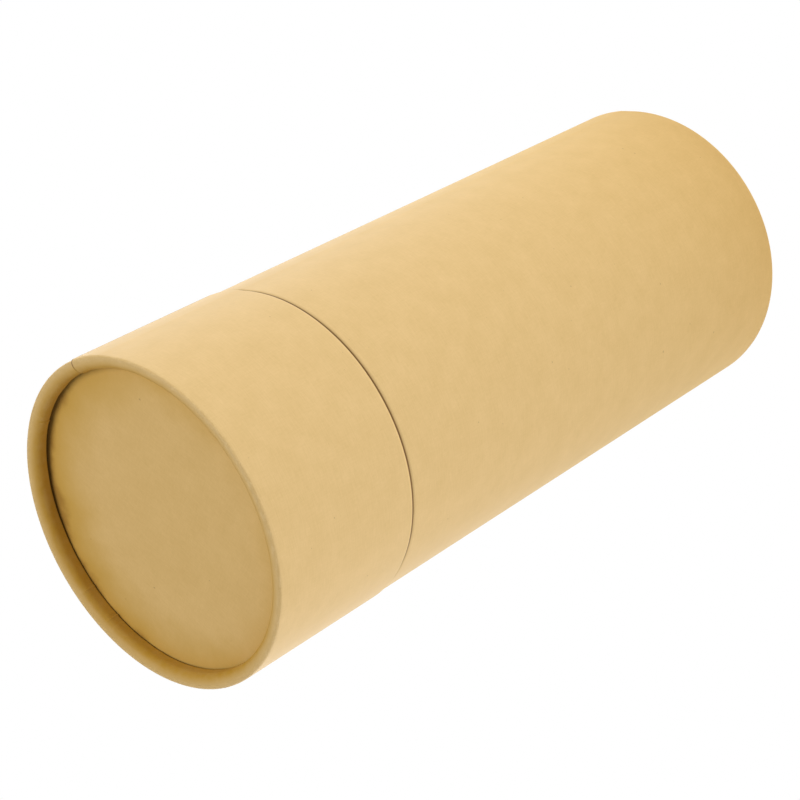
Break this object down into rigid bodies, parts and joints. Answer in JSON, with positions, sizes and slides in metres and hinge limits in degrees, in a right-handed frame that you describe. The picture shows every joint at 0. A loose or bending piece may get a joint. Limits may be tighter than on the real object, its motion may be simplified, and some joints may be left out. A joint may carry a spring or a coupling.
{
  "type": "drawing tube",
  "caption": "Round kraft-board tube with rolled rims, recessed end discs and a push-on cap that slides off an inner neck, for keeping rolled drawings.",
  "frame": {"origin": "centre of the base rim's flat, on the surface that the tube stands on", "axes": "+Z along the tube's axis, from the base to the cap; X and Y are alike, and the lap seam of the wrapping paper faces halfway between -X and +Y"},
  "size_m": [0.1, 0.1, 0.244],
  "materials": {
    "kraft_wrap": "satin",
    "facing_paper": "matte",
    "neck_paper": "matte",
    "lining_paper": "matte",
    "wound_board": "matte",
    "disc_board": "matte"
  },
  "bodies": {
    "tube": {"body_tube": "wound_board", "body_wrap": "kraft_wrap", "base_disc_facing": "facing_paper", "base_disc": "disc_board", "base_disc_lining": "lining_paper", "neck_tube": "wound_board", "neck_cover": "neck_paper", "tube_lining": "lining_paper"},
    "cap": {"cap_tube": "wound_board", "cap_wrap": "kraft_wrap", "cap_lining": "lining_paper", "cap_disc_facing": "facing_paper", "cap_disc": "disc_board", "cap_disc_lining": "lining_paper"}
  },
  "joints": [
    {"name": "cap_lift", "type": "slide", "parent": "tube", "child": "cap", "axis": [0, 0, 1], "range_m": [0, 0.07]}
  ]
}
